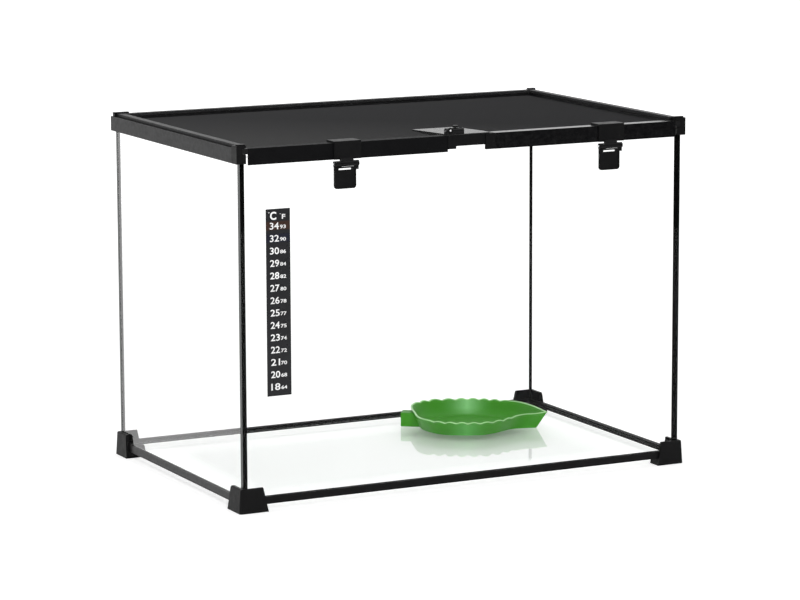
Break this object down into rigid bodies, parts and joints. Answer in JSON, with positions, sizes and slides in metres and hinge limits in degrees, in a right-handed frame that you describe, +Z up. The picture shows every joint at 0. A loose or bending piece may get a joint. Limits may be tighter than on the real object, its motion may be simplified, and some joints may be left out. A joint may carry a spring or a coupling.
{
  "type": "reptile terrarium",
  "caption": "Glass reptile tank on corner feet, with a sliding mesh lid, hinged lid clips, a barrel bolt, a temperature strip and a leaf-shaped dish.",
  "frame": {"origin": "middle of the footprint on the surface that the tank stands on", "axes": "+X along the front to the right seen from the front, +Y from the front to the back, +Z up"},
  "size_m": [0.5, 0.3236, 0.3638],
  "materials": {
    "black_plastic": "satin",
    "gloss_black": "gloss",
    "glass": "polished",
    "black_seal": "satin",
    "mesh": "matte",
    "steel": "satin",
    "strip_film": "gloss",
    "green_plastic": "satin"
  },
  "bodies": {
    "tank": {"foot_front_left": "black_plastic", "foot_front_right": "black_plastic", "foot_back_left": "black_plastic", "foot_back_right": "black_plastic", "bottom_rail_front": "black_plastic", "bottom_rail_back": "black_plastic", "bottom_rail_left": "black_plastic", "bottom_rail_right": "black_plastic", "floor_pane": "glass", "floor_seal": "black_seal", "front_pane": "glass", "back_pane": "glass", "left_pane": "glass", "right_pane": "glass", "corner_seal_front_left": "black_seal", "corner_seal_front_right": "black_seal", "corner_seal_back_left": "black_seal", "corner_seal_back_right": "black_seal", "top_rail_left": "black_plastic", "top_rail_right": "black_plastic", "top_rail_back": "black_plastic", "rail_end_left": "black_plastic", "rail_end_right": "black_plastic", "corner_cap_front_left": "black_plastic", "corner_cap_front_right": "black_plastic", "corner_cap_back_left": "black_plastic", "corner_cap_back_right": "black_plastic", "front_trim": "black_plastic", "temperature_strip": "strip_film"},
    "lid": {"lid_strip_left": "black_plastic", "lid_strip_right": "black_plastic", "lid_strip_back": "black_plastic", "lid_mesh": "mesh", "lid_bar_left": "gloss_black", "lid_bar_right": "gloss_black", "latch_bracket_left": "black_plastic", "latch_bracket_right": "black_plastic", "latch_panel": "black_plastic", "latch_cover": "gloss_black", "latch_keeper": "black_plastic", "latch_barrel": "black_plastic", "clip_saddle_left": "black_plastic", "clip_pin_left": "steel", "clip_saddle_right": "black_plastic", "clip_pin_right": "steel"},
    "latch_bolt": {"latch_bolt": "steel", "latch_knob": "black_plastic"},
    "clip_tab_left": {"clip_tab_left": "black_plastic"},
    "clip_tab_right": {"clip_tab_right": "black_plastic"},
    "dish": {"feeding_dish": "green_plastic"}
  },
  "joints": [
    {"name": "lid_slide", "type": "slide", "parent": "tank", "child": "lid", "axis": [0, -1, 0], "range_m": [0, 0.28]},
    {"name": "clip_left_hinge", "type": "hinge", "parent": "lid", "child": "clip_tab_left", "pos_m": [-0.1373, -0.15902, 0.3348], "axis": [-1, 0, 0], "range_deg": [0, 100]},
    {"name": "clip_right_hinge", "type": "hinge", "parent": "lid", "child": "clip_tab_right", "pos_m": [0.1566, -0.15902, 0.3348], "axis": [-1, 0, 0], "range_deg": [0, 100]},
    {"name": "latch_bolt_slide", "type": "slide", "parent": "lid", "child": "latch_bolt", "axis": [1, 0, 0], "range_m": [0, 0.006]},
    {"name": "dish_lift", "type": "slide", "parent": "tank", "child": "dish", "axis": [0, 0, 1], "range_m": [0, 0.25]}
  ]
}
